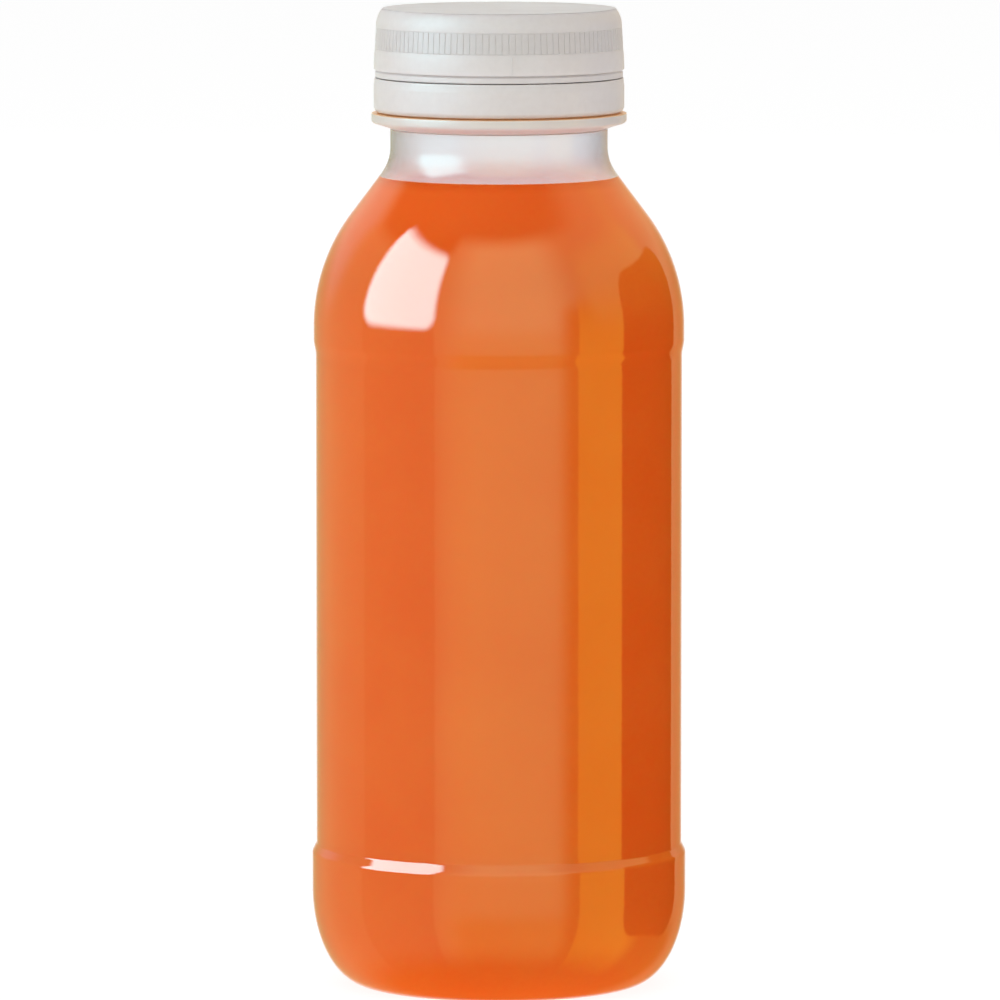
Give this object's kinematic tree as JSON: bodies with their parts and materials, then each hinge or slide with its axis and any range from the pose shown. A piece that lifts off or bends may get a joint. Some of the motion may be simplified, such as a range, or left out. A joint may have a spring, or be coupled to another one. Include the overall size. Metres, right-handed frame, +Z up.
{
  "type": "juice bottle",
  "caption": "Clear plastic screw-cap bottle of orange juice with stepped bumper bands, a sphere-shaped shoulder and a ribbed white cap.",
  "frame": {"origin": "on the bottle's axis, in the plane that it stands on", "axes": "+Z up along the bottle's axis, -Y towards the side that the picture shows"},
  "size_m": [0.0616, 0.0616, 0.1609],
  "materials": {
    "clear_plastic": "clear blown polyester, glossy, colourless",
    "orange_juice": "cloudy orange juice, seen through the wall of the bottle",
    "cap_plastic": "natural white polyethylene, satin and slightly translucent"
  },
  "bodies": {
    "root": {"bottle": "clear_plastic", "juice": "orange_juice", "cap": "cap_plastic"}
  },
  "joints": []
}
